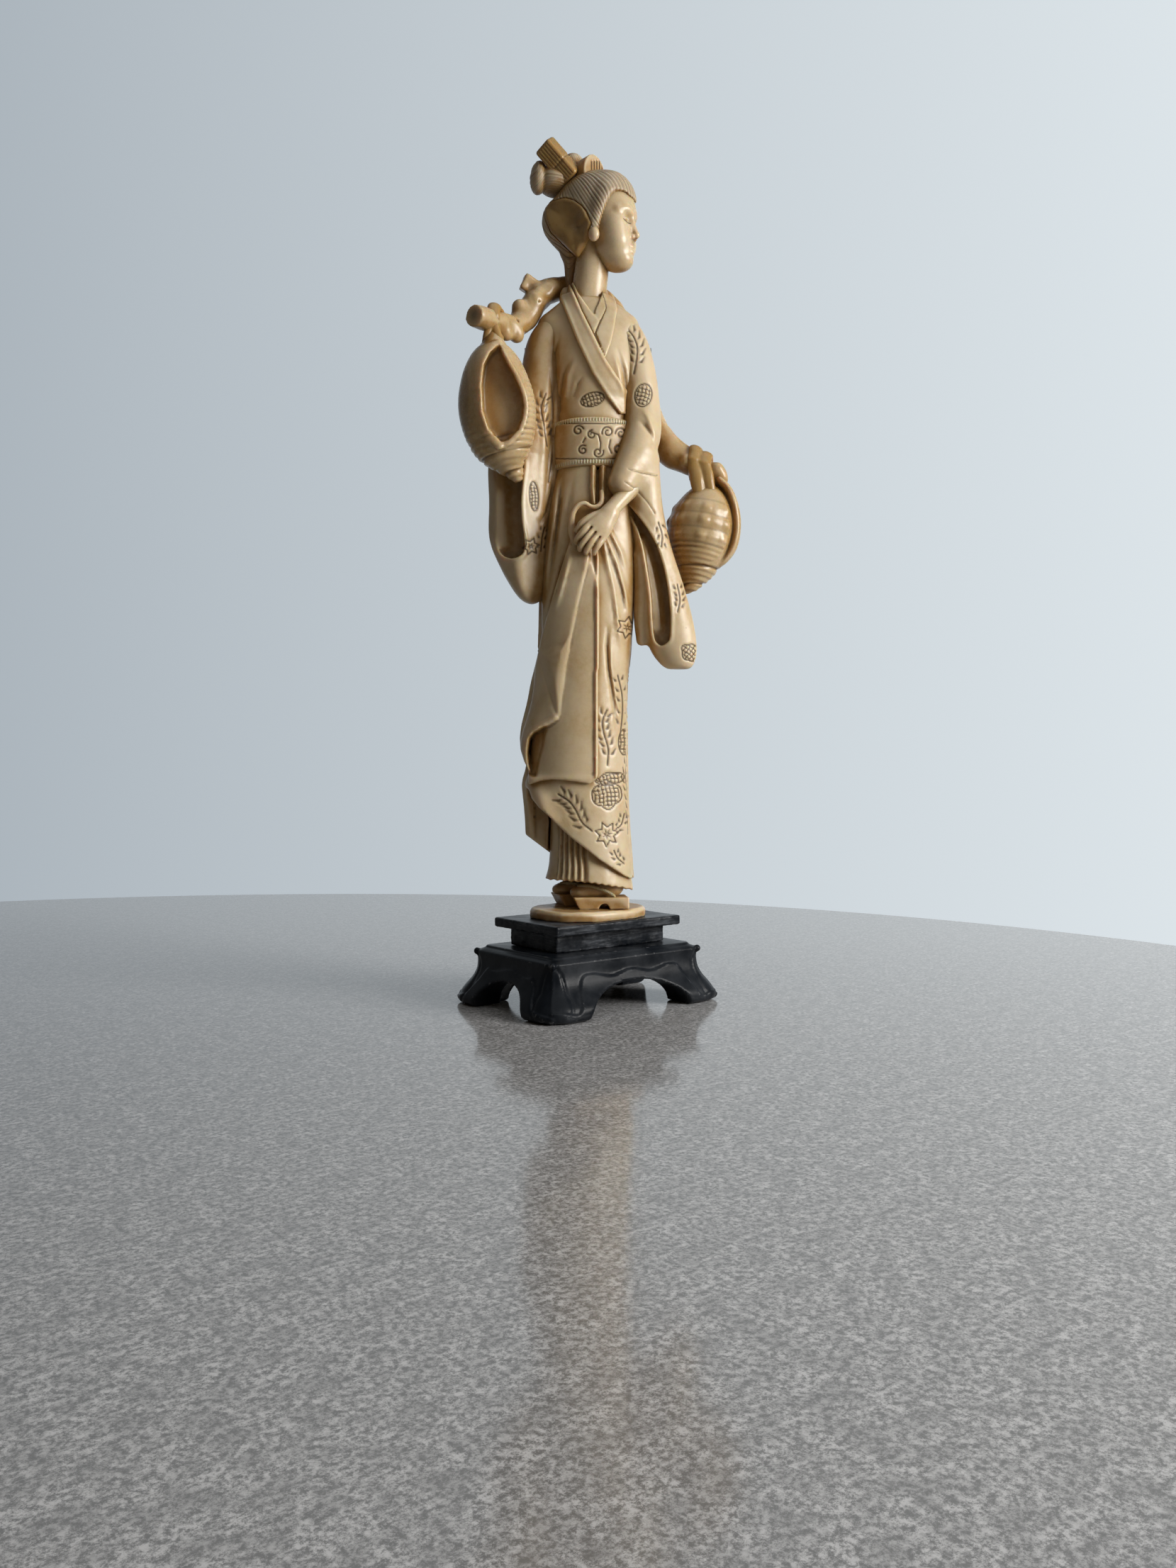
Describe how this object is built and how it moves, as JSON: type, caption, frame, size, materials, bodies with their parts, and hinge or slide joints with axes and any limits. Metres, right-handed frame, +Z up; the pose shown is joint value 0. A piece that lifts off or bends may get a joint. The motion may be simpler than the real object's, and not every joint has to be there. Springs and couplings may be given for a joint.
{
  "type": "figurine on a stand",
  "caption": "Ivory-coloured cast figurine of a standing woman in a patterned robe, carrying a bough hung with conch shells across the shoulders, on a black footed stand.",
  "frame": {"origin": "centre of the stand's footprint, on the table", "axes": "+Z up, +X along the stand's long side, -Y out of its front; the figure is turned 39 degrees towards -X"},
  "size_m": [0.1086, 0.0722, 0.36],
  "materials": {
    "ivory_resin": "satin cast resin with brown patina rubbed into the carving",
    "hair_resin": "satin cast resin, darker patina between the combed strands",
    "honey_resin": "satin cast resin, warmer honey tone",
    "black_lacquer": "black satin lacquer, a little rubbed at the edges",
    "steel": "plain"
  },
  "bodies": {
    "root": {"stand": "black_lacquer", "plinth_neck": "black_lacquer", "plinth_top": "black_lacquer", "base_screws": "steel", "screw_washers": "steel", "foot_plate": "ivory_resin", "left_sandal": "honey_resin", "right_sandal": "honey_resin", "left_foot": "ivory_resin", "right_foot": "ivory_resin", "left_thong": "honey_resin", "right_thong": "honey_resin", "ankle_pins": "steel", "underskirt": "ivory_resin", "robe_skirt": "ivory_resin", "front_panel": "ivory_resin", "core_rod": "steel", "robe_bodice": "ivory_resin", "obi": "ivory_resin", "obi_knot": "ivory_resin", "collar_outer": "ivory_resin", "collar_inner": "ivory_resin", "right_sleeve": "ivory_resin", "left_sleeve": "ivory_resin", "shoulder_pins": "steel", "left_hand": "ivory_resin", "neck": "ivory_resin", "head": "ivory_resin", "hair_cap": "hair_resin", "right_hair_wing": "hair_resin", "left_hair_wing": "hair_resin", "hair_bun": "hair_resin", "hair_bow": "hair_resin", "hair_comb": "hair_resin", "earrings": "hair_resin", "bough": "honey_resin", "right_shell": "honey_resin", "left_shell": "honey_resin", "right_strap": "honey_resin", "left_strap": "honey_resin"}
  },
  "joints": []
}
